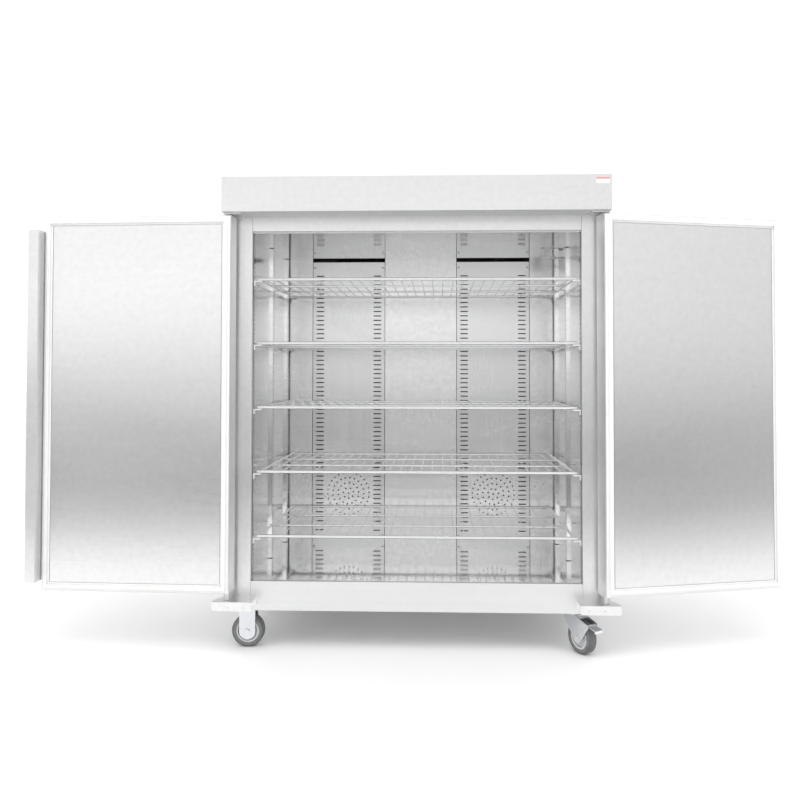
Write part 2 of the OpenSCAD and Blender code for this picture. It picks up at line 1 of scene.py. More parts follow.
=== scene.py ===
# %% [markdown]
# # A two-door proofing cabinet
# Dough rises in this cabinet: two fans push warm, damp air up behind the slotted covers at the back
# and over trays on five wire shelves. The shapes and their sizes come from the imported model. This
# lesson gives every piece its finish, adds the soft door seals and small fittings, and lights it.

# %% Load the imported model
import math

import bmesh
import bpy
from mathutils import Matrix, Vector


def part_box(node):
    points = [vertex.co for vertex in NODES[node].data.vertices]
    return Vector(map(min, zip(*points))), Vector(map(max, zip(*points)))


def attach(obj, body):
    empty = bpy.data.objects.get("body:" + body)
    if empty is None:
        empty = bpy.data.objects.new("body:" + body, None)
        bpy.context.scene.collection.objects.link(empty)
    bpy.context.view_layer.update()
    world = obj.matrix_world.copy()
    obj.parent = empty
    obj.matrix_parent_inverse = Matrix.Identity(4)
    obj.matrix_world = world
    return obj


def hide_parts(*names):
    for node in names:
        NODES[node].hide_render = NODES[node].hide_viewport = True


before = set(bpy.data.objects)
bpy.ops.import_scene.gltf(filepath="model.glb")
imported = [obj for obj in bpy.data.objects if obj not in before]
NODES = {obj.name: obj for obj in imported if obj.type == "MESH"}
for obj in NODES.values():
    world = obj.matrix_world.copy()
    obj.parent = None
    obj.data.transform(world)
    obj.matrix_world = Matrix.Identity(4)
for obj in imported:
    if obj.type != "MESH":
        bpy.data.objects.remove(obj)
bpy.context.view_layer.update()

# %% [markdown]
# ## Camera first
# The camera stands a little right of the middle, at about three fifths of the cabinet's height, and
# looks almost straight in, so all five shelves show. Its distance decides how quickly the rear wall
# shrinks compared with the door opening, so it is set before anything else is judged.

# %% Make the camera
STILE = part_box("stile_left")
FACE_Y = STILE[0].y
CAMERA_BACK = 2.383
CAMERA_RIGHT = 0.075
CAMERA_HEIGHT = 0.858
CAMERA_YAW = 0.033
CAMERA_PITCH = 0.024
CAMERA_ROLL = -0.001
LENS = 34.77
SENSOR = 36.0
FRAME_SHIFT = (-0.0182, -0.0573)

camera_data = bpy.data.cameras.new("front camera")
camera = bpy.data.objects.new("front camera", camera_data)
bpy.context.scene.collection.objects.link(camera)
camera.location = (CAMERA_RIGHT, FACE_Y - CAMERA_BACK, CAMERA_HEIGHT)
camera.rotation_euler = (math.pi / 2 + CAMERA_PITCH, CAMERA_ROLL, CAMERA_YAW)
camera_data.sensor_width = SENSOR
camera_data.lens = LENS
camera_data.shift_x, camera_data.shift_y = FRAME_SHIFT
camera_data.clip_start = 0.05
camera_data.clip_end = 60.0
bpy.context.scene.camera = camera
print("camera stands", round(CAMERA_BACK, 2), "m in front of the face frame")

# %% [markdown]
# ## Helpers for node trees
# Materials are built from nodes in code. Two short helpers keep that readable: one adds a node and
# sets its plain properties, the other joins two sockets.


# %% Node helpers
def add_node(tree, kind, **settings):
    node = tree.nodes.new(kind)
    for key, value in settings.items():
        setattr(node, key, value)
    return node


def join(tree, out_socket, in_socket):
    tree.links.new(out_socket, in_socket)


def start_group(name, inputs, outputs):
    tree = bpy.data.node_groups.new(name, "ShaderNodeTree")
    for label, kind, value in inputs:
        socket = tree.interface.new_socket(name=label, in_out="INPUT", socket_type=kind)
        socket.default_value = value
    for label, kind in outputs:
        tree.interface.new_socket(name=label, in_out="OUTPUT", socket_type=kind)
    return tree, tree.nodes.new("NodeGroupInput"), tree.nodes.new("NodeGroupOutput")


def math_node(tree, operation, a, b=None, clamp=False):
    node = add_node(tree, "ShaderNodeMath", operation=operation, use_clamp=clamp)
    for slot_number, value in enumerate((a, b)):
        if value is None:
            continue
        if isinstance(value, (int, float)):
            node.inputs[slot_number].default_value = value
        else:
            join(tree, value, node.inputs[slot_number])
    return node.outputs[0]


# %% [markdown]
# ## Brush grain
# Stainless sheet is finished with an abrasive belt, which leaves short fine scratches that all run
# one way. A noise texture stretched over a hundredfold along the belt's direction gives that look. It is
# a group, because doors, walls, covers and brackets share it and differ only in direction and depth.


# %% Group: brush grain
def make_brush_grain():
    tree, gin, gout = start_group(
        "Brush grain",
        [("Vector", "NodeSocketVector", (0, 0, 0)), ("Stretch", "NodeSocketVector", (4, 4, 500)),
         ("Contrast", "NodeSocketFloat", 0.5)],
        [("Tone", "NodeSocketFloat"), ("Height", "NodeSocketFloat")],
    )
    scale = add_node(tree, "ShaderNodeVectorMath", operation="MULTIPLY")
    join(tree, gin.outputs["Vector"], scale.inputs[0])
    join(tree, gin.outputs["Stretch"], scale.inputs[1])
    fine = add_node(tree, "ShaderNodeTexNoise")
    fine.inputs["Scale"].default_value = 1.0
    fine.inputs["Detail"].default_value = 5.0
    fine.inputs["Roughness"].default_value = 0.72
    join(tree, scale.outputs[0], fine.inputs["Vector"])
    coarse_scale = add_node(tree, "ShaderNodeVectorMath", operation="SCALE")
    coarse_scale.inputs["Scale"].default_value = 0.16
    join(tree, scale.outputs[0], coarse_scale.inputs[0])
    coarse = add_node(tree, "ShaderNodeTexNoise")
    coarse.inputs["Scale"].default_value = 1.0
    coarse.inputs["Detail"].default_value = 3.0
    join(tree, coarse_scale.outputs[0], coarse.inputs["Vector"])
    both = math_node(tree, "ADD", math_node(tree, "MULTIPLY", fine.outputs["Fac"], 0.65),
                     math_node(tree, "MULTIPLY", coarse.outputs["Fac"], 0.35))
    centred = math_node(tree, "SUBTRACT", both, 0.5)
    spread = math_node(tree, "MULTIPLY", centred, gin.outputs["Contrast"])
    join(tree, math_node(tree, "ADD", spread, 0.5, clamp=True), gout.inputs["Tone"])
    join(tree, fine.outputs["Fac"], gout.inputs["Height"])
    return tree


BRUSH_GRAIN = make_brush_grain()
print("group ready:", BRUSH_GRAIN.name)

# %% [markdown]
# ## Wipe haze
# Kitchen steel is wiped every day. Cloths leave broad, soft, cloudy patches where the metal is a
# little duller. A slow noise stretched sideways, eased with a ramp, gives a mask for that, used on
# roughness and, very lightly, on colour.


# %% Group: wipe haze
def make_wipe_haze():
    tree, gin, gout = start_group(
        "Wipe haze",
        [("Vector", "NodeSocketVector", (0, 0, 0)), ("Scale", "NodeSocketFloat", 3.0)],
        [("Haze", "NodeSocketFloat")],
    )
    flatten = add_node(tree, "ShaderNodeVectorMath", operation="MULTIPLY")
    flatten.inputs[1].default_value = (0.6, 0.6, 1.5)
    join(tree, gin.outputs["Vector"], flatten.inputs[0])
    cloud = add_node(tree, "ShaderNodeTexNoise")
    cloud.inputs["Detail"].default_value = 4.0
    cloud.inputs["Distortion"].default_value = 0.8
    join(tree, flatten.outputs[0], cloud.inputs["Vector"])
    join(tree, gin.outputs["Scale"], cloud.inputs["Scale"])
    ease = add_node(tree, "ShaderNodeMapRange", interpolation_type="SMOOTHSTEP")
    ease.inputs["From Min"].default_value = 0.35
    ease.inputs["From Max"].default_value = 0.72
    join(tree, cloud.outputs["Fac"], ease.inputs["Value"])
    join(tree, ease.outputs["Result"], gout.inputs["Haze"])
    return tree


WIPE_HAZE = make_wipe_haze()
print("group ready:", WIPE_HAZE.name)

# %% [markdown]
# ## Edge wear
# Folded edges and corners are rubbed brighter by trays, hands and cloths. The geometry node's
# pointiness is high on convex edges, so a steep ramp on it, broken up by a fine noise, makes the
# mask. It needs small bevels on the mesh to catch, and those come further down.


# %% Group: edge wear
def make_edge_wear():
    tree, gin, gout = start_group(
        "Edge wear",
        [("Vector", "NodeSocketVector", (0, 0, 0)), ("Start", "NodeSocketFloat", 0.52),
         ("Breakup", "NodeSocketFloat", 60.0)],
        [("Mask", "NodeSocketFloat")],
    )
    geometry = add_node(tree, "ShaderNodeNewGeometry")
    chips = add_node(tree, "ShaderNodeTexNoise")
    chips.inputs["Detail"].default_value = 3.0
    join(tree, gin.outputs["Vector"], chips.inputs["Vector"])
    join(tree, gin.outputs["Breakup"], chips.inputs["Scale"])
    ramp = add_node(tree, "ShaderNodeMapRange", interpolation_type="SMOOTHSTEP")
    join(tree, geometry.outputs["Pointiness"], ramp.inputs["Value"])
    join(tree, gin.outputs["Start"], ramp.inputs["From Min"])
    join(tree, math_node(tree, "ADD", gin.outputs["Start"], 0.08), ramp.inputs["From Max"])
    join(tree, math_node(tree, "MULTIPLY", ramp.outputs["Result"], chips.outputs["Fac"], clamp=True),
         gout.inputs["Mask"])
    return tree


EDGE_WEAR = make_edge_wear()
print("group ready:", EDGE_WEAR.name)

# %% [markdown]
# ## Moulded skin
# Plastic and rubber take the fine orange-peel texture of their mould. One small isotropic noise
# gives a height for the bump and a tone for slight colour drift. The seals, wheels, clips and fans
# share it.


# %% Group: moulded skin
def make_moulded_skin():
    tree, gin, gout = start_group(
        "Moulded skin",
        [("Vector", "NodeSocketVector", (0, 0, 0)), ("Grain size", "NodeSocketFloat", 900.0)],
        [("Tone", "NodeSocketFloat"), ("Height", "NodeSocketFloat")],
    )
    grain = add_node(tree, "ShaderNodeTexNoise")
    grain.inputs["Detail"].default_value = 2.0
    join(tree, gin.outputs["Vector"], grain.inputs["Vector"])
    join(tree, gin.outputs["Grain size"], grain.inputs["Scale"])
    drift = add_node(tree, "ShaderNodeTexNoise")
    drift.inputs["Scale"].default_value = 14.0
    drift.inputs["Detail"].default_value = 4.0
    join(tree, gin.outputs["Vector"], drift.inputs["Vector"])
    join(tree, drift.outputs["Fac"], gout.inputs["Tone"])
    join(tree, grain.outputs["Fac"], gout.inputs["Height"])
    return tree


MOULDED_SKIN = make_moulded_skin()
print("group ready:", MOULDED_SKIN.name)

# %% [markdown]
# ## Metal recipe
# Every metal here is the same recipe: brush grain shifts the colour a little and drives a bump,
# wipe haze and grain together move the roughness, and edge wear brightens the folds. Only the
# colours, the grain's direction and the depth change, so the recipe is one function.


# %% Metal recipe
def new_material(name):
    material = bpy.data.materials.new(name)
    material.use_nodes = True
    tree = material.node_tree
    shader = tree.nodes["Principled BSDF"]
    coords = add_node(tree, "ShaderNodeTexCoord")
    return material, tree, shader, coords.outputs["Object"]


def place_group(tree, group, vector, **values):
    node = add_node(tree, "ShaderNodeGroup", node_tree=group)
    join(tree, vector, node.inputs["Vector"])
    for label, value in values.items():
        node.inputs[label.replace("_", " ")].default_value = value
    return node


def mix_colour(tree, factor, colour_a, colour_b):
    node = add_node(tree, "ShaderNodeMix", data_type="RGBA")
    join(tree, factor, node.inputs["Factor"])
    for label, colour in (("A", colour_a), ("B", colour_b)):
        socket = [s for s in node.inputs if s.name == label and s.type == "RGBA"][0]
        if isinstance(colour, bpy.types.NodeSocket):
            join(tree, colour, socket)
        else:
            socket.default_value = (*colour, 1.0)
    return [s for s in node.outputs if s.type == "RGBA"][0]


def map_range(tree, value, low, high):
    node = add_node(tree, "ShaderNodeMapRange")
    join(tree, value, node.inputs["Value"])
    node.inputs["To Min"].default_value = low
    node.inputs["To Max"].default_value = high
    return node.outputs["Result"]


def make_metal(name, dark, light, stretch, rough, depth=0.03, contrast=1.0, haze_scale=3.0,
               worn=(0.95, 0.95, 0.95), distance=0.0004):
    material, tree, shader, vector = new_material(name)
    grain = place_group(tree, BRUSH_GRAIN, vector, Stretch=stretch, Contrast=contrast)
    haze = place_group(tree, WIPE_HAZE, vector, Scale=haze_scale)
    wear = place_group(tree, EDGE_WEAR, vector)
    sheet = mix_colour(tree, grain.outputs["Tone"], dark, light)
    hazed = mix_colour(tree, math_node(tree, "MULTIPLY", haze.outputs["Haze"], 0.25), sheet, light)
    join(tree, mix_colour(tree, wear.outputs["Mask"], hazed, worn), shader.inputs["Base Color"])
    low, high = rough
    moving = math_node(tree, "ADD", math_node(tree, "MULTIPLY", grain.outputs["Tone"], 0.6),
                       math_node(tree, "MULTIPLY", haze.outputs["Haze"], 0.4))
    join(tree, map_range(tree, moving, low, high), shader.inputs["Roughness"])
    bump = add_node(tree, "ShaderNodeBump")
    bump.inputs["Strength"].default_value = depth
    bump.inputs["Distance"].default_value = distance
    join(tree, grain.outputs["Height"], bump.inputs["Height"])
    join(tree, bump.outputs["Normal"], shader.inputs["Normal"])
    shader.inputs["Metallic"].default_value = 1.0
    return material


ACROSS = (5.0, 5.0, 700.0)
UPRIGHT = (700.0, 700.0, 5.0)
FRONT_BACK = (700.0, 5.0, 5.0)
EVEN = (260.0, 260.0, 260.0)

STEEL_ACROSS = make_metal("steel, brushed across", (0.70, 0.705, 0.71), (0.86, 0.86, 0.86),
                          ACROSS, (0.26, 0.44), depth=0.10)
STEEL_UPRIGHT = make_metal("steel, brushed upright", (0.70, 0.705, 0.71), (0.86, 0.86, 0.86),
                           UPRIGHT, (0.26, 0.44), depth=0.10)
STEEL_TOP = make_metal("steel, brushed front to back", (0.70, 0.705, 0.71), (0.86, 0.86, 0.86),
                       FRONT_BACK, (0.28, 0.46), depth=0.10)
DOOR_PANEL = make_metal("door panel steel", (0.72, 0.725, 0.73), (0.87, 0.87, 0.87),
                        ACROSS, (0.25, 0.34), depth=0.035, contrast=0.8, haze_scale=1.6)
WALL_STEEL = make_metal("inner wall steel, bright", (0.72, 0.725, 0.73), (0.87, 0.87, 0.87),
                        UPRIGHT, (0.10, 0.20), depth=0.05)
FLOOR_STEEL = make_metal("inner floor steel, bright", (0.68, 0.685, 0.69), (0.84, 0.84, 0.84),
                         FRONT_BACK, (0.04, 0.10), depth=0.025)
# The duct wall behind the slotted covers is painted near black. This is painted shade for the dark space
# behind the slots, not a colour the steel has.
DUCT_WALL_SHADE = make_metal("duct wall, painted dark as shade", (0.05, 0.05, 0.052), (0.11, 0.11, 0.112),
                        UPRIGHT, (0.4, 0.6), depth=0.10, worn=(0.2, 0.2, 0.2))
COVER_STEEL = make_metal("duct cover steel", (0.70, 0.705, 0.71), (0.86, 0.86, 0.86),
                         UPRIGHT, (0.20, 0.33), depth=0.06)
PLATED_WIRE = make_metal("bright plated wire", (0.80, 0.81, 0.82), (0.93, 0.93, 0.94),
                         EVEN, (0.10, 0.24), depth=0.05)
BRIGHT_ZINC = make_metal("bright zinc plate", (0.66, 0.68, 0.71), (0.84, 0.85, 0.87),
                         EVEN, (0.20, 0.38), depth=0.12)
POLISHED = make_metal("polished handle steel", (0.76, 0.765, 0.77), (0.88, 0.88, 0.88),
                      UPRIGHT, (0.10, 0.20), depth=0.04)
FASTENER_STEEL = make_metal("fastener steel", (0.36, 0.36, 0.37), (0.56, 0.56, 0.57),
                            EVEN, (0.28, 0.45), depth=0.15)
HEATER_STEEL = make_metal("heat-dulled steel", (0.22, 0.19, 0.17), (0.42, 0.38, 0.34),
                          EVEN, (0.35, 0.6), depth=0.2)
FAN_METAL = make_metal("black fan casting", (0.03, 0.03, 0.032), (0.07, 0.07, 0.074),
                       EVEN, (0.4, 0.6), depth=0.25, worn=(0.2, 0.2, 0.2))
print("steel and wire finishes made:", sum("steel" in m.name or "wire" in m.name for m in bpy.data.materials))

# %% [markdown]
# ## Plastic and rubber recipe
# The non-metals differ in how glossy they are and how deep their mould grain is. Edge wear lightens
# them slightly where they are handled.


# %% Plastic and rubber recipe
def make_plastic(name, dark, light, rough, depth, grain_size=900.0, worn=None):
    material, tree, shader, vector = new_material(name)
    skin = place_group(tree, MOULDED_SKIN, vector, Grain_size=grain_size)
    wear = place_group(tree, EDGE_WEAR, vector, Start=0.54)
    haze = place_group(tree, WIPE_HAZE, vector, Scale=9.0)
    base = mix_colour(tree, skin.outputs["Tone"], dark, light)
    join(tree, mix_colour(tree, wear.outputs["Mask"], base, worn or light), shader.inputs["Base Color"])
    join(tree, map_range(tree, haze.outputs["Haze"], *rough), shader.inputs["Roughness"])
    bump = add_node(tree, "ShaderNodeBump")
    bump.inputs["Strength"].default_value = depth
    bump.inputs["Distance"].default_value = 0.0003
    join(tree, skin.outputs["Height"], bump.inputs["Height"])
    join(tree, bump.outputs["Normal"], shader.inputs["Normal"])
    return material


SEAL_RUBBER = make_plastic("soft seal, pale grey", (0.74, 0.74, 0.735), (0.84, 0.84, 0.83),
                           (0.42, 0.6), 0.25)
WHITE_CLIP = make_plastic("white clip plastic", (0.78, 0.78, 0.76), (0.88, 0.88, 0.86),
                          (0.25, 0.4), 0.15)
HUB_PLASTIC = make_plastic("hub plastic, light", (0.60, 0.61, 0.62), (0.74, 0.75, 0.76),
                           (0.3, 0.5), 0.3)
TREAD_RUBBER = make_plastic("tread rubber, grey", (0.07, 0.072, 0.075), (0.15, 0.153, 0.157),
                            (0.5, 0.75), 0.5, grain_size=700.0, worn=(0.28, 0.28, 0.28))
FAN_PLASTIC = make_plastic("fan blade plastic", (0.02, 0.02, 0.022), (0.05, 0.05, 0.052),
                           (0.35, 0.5), 0.2)
BOX_PLASTIC = make_plastic("electrical box plastic", (0.10, 0.10, 0.11), (0.16, 0.16, 0.17),
                           (0.4, 0.6), 0.3)
FOAM = make_plastic("rigid foam", (0.72, 0.64, 0.42), (0.86, 0.80, 0.58),
                    (0.7, 0.9), 0.8, grain_size=400.0)
print("plastics made:", SEAL_RUBBER.name, "and six more")

# %% [markdown]
# ## Dressing the model's own pieces
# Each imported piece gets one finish. Sheet parts also get a small bevel: a real fold has a radius,
# and the thin highlight along it is what makes sheet metal read as sheet metal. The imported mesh
# keeps separate corners at every edge, so a weld modifier joins them before the bevel.

# %% Which piece has which finish
FINISHES = {
    STEEL_ACROSS: ["header_front", "top_rail", "sill", "base_frame", "hinge_brackets",
                   "back_panel", "door_left_skin", "door_right_skin"],
    STEEL_UPRIGHT: ["stile_left", "stile_right", "side_panel_left", "side_panel_right", "astragal"],
    STEEL_TOP: ["roof_panel", "header_cover"],
    DOOR_PANEL: ["door_left_liner", "door_right_liner"],
    WALL_STEEL: ["liner_left", "liner_right", "pilasters"],
    DUCT_WALL_SHADE: ["liner_back"],
    FLOOR_STEEL: ["liner_floor", "liner_ceiling"],
    COVER_STEEL: ["duct_cover_left", "duct_cover_right", "rear_panels"],
    PLATED_WIRE: [name for name in NODES if name.startswith("wire_shelf")],
    BRIGHT_ZINC: ["rigid_forks", "swivel_plates", "swivel_fork_front", "swivel_fork_rear",
                  "brake_pedal_front", "brake_pedal_rear"],
    POLISHED: ["door_left_handle", "door_right_handle"],
    FASTENER_STEEL: ["hinge_fasteners"],
    HEATER_STEEL: ["heaters"],
    FAN_METAL: ["fan_frames"],
    FAN_PLASTIC: ["fan_rotor_left", "fan_rotor_right"],
    SEAL_RUBBER: ["door_left_gasket", "door_right_gasket"],
    WHITE_CLIP: ["shelf_clips", "air_probe"],
    HUB_PLASTIC: [name for name in NODES if name.startswith("hub_")],
    TREAD_RUBBER: [name for name in NODES if name.startswith("tyre_")],
    BOX_PLASTIC: ["control_box"],
    FOAM: ["shell_insulation", "door_left_foam", "door_right_foam"],
}
for finish, names in FINISHES.items():
    for name in names:
        mesh = NODES[name].data
        mesh.materials.clear()
        mesh.materials.append(finish)
print("pieces dressed:", sum(len(names) for names in FINISHES.values()), "of", len(NODES))

# %% Soften the folds
SHEET_PARTS = ["header_front", "header_cover", "top_rail", "sill", "base_frame", "stile_left",
               "stile_right", "side_panel_left", "side_panel_right", "back_panel", "astragal",
               "door_left_skin", "door_right_skin", "door_left_liner", "door_right_liner"]
FOLD_RADIUS = 0.0005


def soften(piece, radius, segments=2):
    weld = piece.modifiers.new("join corners", "WELD")
    weld.merge_threshold = 0.00002
    bevel = piece.modifiers.new("soft folds", "BEVEL")
    bevel.width = radius
    bevel.segments = segments
    bevel.limit_method = "ANGLE"
    bevel.angle_limit = math.radians(40)


for name in SHEET_PARTS:
    soften(NODES[name], FOLD_RADIUS)
print("folds softened on", len(SHEET_PARTS), "sheet parts")

# %% [markdown]
# ## Door seals
# A cabinet door seals with a soft extrusion: a flat foot pressed into the door, a narrow bellows and
# a round magnetic lip. The model holds only its outline, so the real section is drawn here and run
# round the door with mitred corners, as the extrusion is welded in life. The doors stand at their
# own angles, so the door's own directions are read from its liner first.


# %% Find a door's own directions
def door_axes(liner_name):
    mesh = NODES[liner_name].data
    best = (0.0, None)
    for polygon in mesh.polygons:
        if abs(polygon.normal.z) < 0.01 and polygon.area > best[0]:
            best = (polygon.area, polygon.normal.copy())
    normal = best[1]
    normal.z = 0
    normal.normalize()
    if normal.y > 0:
        normal.negate()
    along = Vector((-normal.y, normal.x, 0))
    return along, normal


def extents(name, directions):
    corners = [vertex.co for vertex in NODES[name].data.vertices]
    return [(min(c.dot(d) for c in corners), max(c.dot(d) for c in corners)) for d in directions]


# %% Draw the seal's section and run it round the door
SEAL_SECTION = [
    (0.0, 0.0), (0.0, 0.0028), (0.0008, 0.0036), (0.0082, 0.0040), (0.0090, 0.0052), (0.0080, 0.0064),
    (0.0074, 0.0082), (0.0080, 0.0097), (0.0092, 0.0104), (0.0120, 0.0104), (0.0130, 0.0099),
    (0.0140, 0.0104), (0.0168, 0.0104), (0.0182, 0.0096), (0.0188, 0.0080), (0.0176, 0.0062),
    (0.0160, 0.0052), (0.0170, 0.0040), (0.0228, 0.0036), (0.0238, 0.0028), (0.0238, 0.0),
]


def finish_mesh(name, mesh_data, material, body, smooth=True):
    mesh = bpy.data.meshes.new(name)
    mesh_data.normal_update()
    mesh_data.to_mesh(mesh)
    mesh_data.free()
    if smooth:
        for polygon in mesh.polygons:
            polygon.use_smooth = True
    piece = bpy.data.objects.new(name, mesh)
    bpy.context.scene.collection.objects.link(piece)
    mesh.materials.append(material)
    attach(piece, body)
    return piece


def make_seal(door):
    gasket = f"door_{door}_gasket"
    along, normal = door_axes(f"door_{door}_liner")
    up = Vector((0, 0, 1))
    (t0, t1), (n0, n1), (z0, z1) = extents(gasket, (along, normal, up))
    scale = (n1 - n0) / max(height for _, height in SEAL_SECTION)
    work = bmesh.new()
    rings = []
    for inward, height in SEAL_SECTION:
        level = n0 + height * scale
        corners = [(t0 + inward, z0 + inward), (t1 - inward, z0 + inward),
                   (t1 - inward, z1 - inward), (t0 + inward, z1 - inward)]
        rings.append([work.verts.new(along * t + normal * level + up * z) for t, z in corners])
    count = len(rings)
    for i in range(count):
        ring, following = rings[i], rings[(i + 1) % count]
        for k in range(4):
            work.faces.new((ring[k], ring[(k + 1) % 4], following[(k + 1) % 4], following[k]))
    bmesh.ops.recalc_face_normals(work, faces=work.faces)
    seal = finish_mesh(f"seal_{door}", work, SEAL_RUBBER, f"door_{door}", smooth=False)
    shade = seal.modifiers.new("rounded section", "BEVEL")
    shade.width = 0.0006
    shade.segments = 2
    shade.limit_method = "ANGLE"
    shade.angle_limit = math.radians(20)
    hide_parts(gasket)
    return seal


for door in ("left", "right"):
    made = make_seal(door)
    print(made.name, "runs round", round(sum(made.dimensions) * 2, 2), "m")

# %% [markdown]
# ## Small fittings
# A blank label sits in the header's upper right corner, and small pan-head screws hold the rear
# covers. They are light pieces of geometry, but without them the big sheets look empty.


# %% Blank label on the header
def rounded_plate(work, centre, size, thick, radius, steps=6):
    half_w, half_h = size[0] / 2 - radius, size[1] / 2 - radius
    outline = []
    turns = ((half_w, half_h, 0), (-half_w, half_h, 90), (-half_w, -half_h, 180), (half_w, -half_h, 270))
    for cx, cz, start in turns:
        for k in range(steps + 1):
            angle = math.radians(start + 90 * k / steps)
            outline.append((cx + radius * math.cos(angle), cz + radius * math.sin(angle)))
    front = [work.verts.new((centre[0] + x, centre[1] - thick, centre[2] + z)) for x, z in outline]
    back = [work.verts.new((centre[0] + x, centre[1], centre[2] + z)) for x, z in outline]
    work.faces.new(front)
    work.faces.new(list(reversed(back)))
    for k in range(len(outline)):
        j = (k + 1) % len(outline)
        work.faces.new((front[k], back[k], back[j], front[j]))
    bmesh.ops.recalc_face_normals(work, faces=work.faces)


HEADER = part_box("header_front")
LABEL_SIZE = (0.040, 0.018)
LABEL_THICK = 0.0004
LABEL_CORNER = 0.0015
LABEL_FROM_RIGHT = 0.0265
LABEL_FROM_TOP = 0.0185
BAND_BELOW_TOP = 0.0145


def make_label_material():
    material, tree, shader, vector = new_material("blank label, pale red")
    split = add_node(tree, "ShaderNodeSeparateXYZ")
    join(tree, vector, split.inputs[0])
    band = math_node(tree, "GREATER_THAN", split.outputs["Z"], HEADER[1].z - BAND_BELOW_TOP)
    paper = place_group(tree, MOULDED_SKIN, vector, Grain_size=1500.0)
    blank = mix_colour(tree, paper.outputs["Tone"], (0.80, 0.62, 0.60), (0.90, 0.76, 0.74))
    join(tree, mix_colour(tree, band, blank, (0.72, 0.25, 0.24)), shader.inputs["Base Color"])
    join(tree, map_range(tree, paper.outputs["Tone"], 0.35, 0.5), shader.inputs["Roughness"])
    return material


work = bmesh.new()
label_centre = (HEADER[1].x - LABEL_FROM_RIGHT, HEADER[0].y, HEADER[1].z - LABEL_FROM_TOP)
rounded_plate(work, label_centre, LABEL_SIZE, LABEL_THICK, LABEL_CORNER)
finish_mesh("header_label", work, make_label_material(), "cabinet", smooth=False)
print("label is", LABEL_SIZE[0] * 1000, "mm wide and carries no lettering")


# %% Screws on the rear covers
def add_screw(work, centre, radius=0.0035, height=0.0016, rings=4, sides=20):
    previous = None
    for k in range(rings + 1):
        angle = math.radians(90 * k / rings)
        r, h = radius * math.cos(angle), height * math.sin(angle)
        if k == rings:
            top = work.verts.new((centre[0], centre[1] - height, centre[2]))
            for i in range(sides):
                work.faces.new((previous[i], previous[(i + 1) % sides], top))
            break
        ring = [work.verts.new((centre[0] + r * math.cos(2 * math.pi * i / sides), centre[1] - h,
                                centre[2] + r * math.sin(2 * math.pi * i / sides))) for i in range(sides)]
        if previous:
            for i in range(sides):
                work.faces.new((previous[i], previous[(i + 1) % sides], ring[(i + 1) % sides], ring[i]))
        else:
            base = ring
        previous = ring
    work.faces.new(list(reversed(base)))


SCREW_INSET = 0.007
SCREW_HEIGHTS = (0.02, 0.5, 0.98)
work = bmesh.new()
placed = 0
for side in ("left", "right"):
    low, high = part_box(f"duct_cover_{side}")
    for x in (low.x + SCREW_INSET, high.x - SCREW_INSET):
        for part in SCREW_HEIGHTS:
            add_screw(work, (x, low.y, low.z + part * (high.z - low.z)))
            placed += 1
bmesh.ops.recalc_face_normals(work, faces=work.faces)
finish_mesh("cover_screws", work, FASTENER_STEEL, "cabinet")
print("cover screws placed:", placed)

# %% [markdown]
# ## Floor and light
# Bright steel shows whatever stands around it, so its shading is drawn by the surroundings and not by
# the lamps. The lamps are hidden from reflections and light only the matt pieces and the floor. A
# graded card stands behind the camera instead: dark at its foot, white at shoulder height, and a
# little duller to the right, where the right door looks. It draws the soft band on each door. A dark
# mat lies at the card's foot and carries its dark part on across the floor.

# %% Floor
work = bmesh.new()
FLOOR_SIZE = 30.0
FLOOR_PARTS = 8
bmesh.ops.create_grid(work, x_segments=FLOOR_PARTS, y_segments=FLOOR_PARTS, size=FLOOR_SIZE)
floor_mesh = bpy.data.meshes.new("studio floor")
work.to_mesh(floor_mesh)
work.free()
floor = bpy.data.objects.new("studio floor", floor_mesh)
bpy.context.scene.collection.objects.link(floor)
floor_material, tree, shader, vector = new_material("studio floor, pale")
paint = place_group(tree, WIPE_HAZE, vector, Scale=0.7)
join(tree, mix_colour(tree, paint.outputs["Haze"], (0.92, 0.92, 0.92), (0.95, 0.95, 0.95)),
     shader.inputs["Base Color"])
join(tree, map_range(tree, paint.outputs["Haze"], 0.75, 0.9), shader.inputs["Roughness"])
floor_mesh.materials.append(floor_material)
print("floor is", FLOOR_SIZE * 2, "m across")


# %% Graded card behind the camera
def tone_ramp(tree, value, low, high, stops):
    ramp = add_node(tree, "ShaderNodeValToRGB")
    ramp.color_ramp.interpolation = "EASE"
    for k, (place, grey) in enumerate(stops):
        stop = ramp.color_ramp.elements[k] if k < 2 else ramp.color_ramp.elements.new(0.5)
        stop.position = (place - low) / (high - low)
        stop.color = (grey, grey, grey, 1.0)
    spread = map_range(tree, value, 0.0, 1.0)
    spread.node.inputs["From Min"].default_value = low
    spread.node.inputs["From Max"].default_value = high
    join(tree, spread, ramp.inputs["Fac"])
    return ramp.outputs["Color"]


CARD_BEHIND = 2.95
CARD_HALF = 6.5
CARD_TOP = 3.2
CARD_GLOW = 1.32
card_y = FACE_Y - CARD_BEHIND
work = bmesh.new()
card_corners = ((-CARD_HALF, 0.0), (CARD_HALF, 0.0), (CARD_HALF, CARD_TOP), (-CARD_HALF, CARD_TOP))
work.faces.new([work.verts.new((x, card_y, z)) for x, z in card_corners])
card_mesh = bpy.data.meshes.new("graded card")
work.to_mesh(card_mesh)
work.free()
card = bpy.data.objects.new("graded card", card_mesh)
bpy.context.scene.collection.objects.link(card)
card_material = bpy.data.materials.new("graded card glow")
card_material.use_nodes = True
tree = card_material.node_tree
shader = tree.nodes["Principled BSDF"]
card_coords = add_node(tree, "ShaderNodeTexCoord")
card_split = add_node(tree, "ShaderNodeSeparateXYZ")
join(tree, card_coords.outputs["Object"], card_split.inputs[0])
UPWARD = [(0.0, 0.16), (0.15, 0.24), (0.7, 0.46), (1.15, 0.95), (1.7, 1.0), (2.1, 0.71), (CARD_TOP, 0.62)]
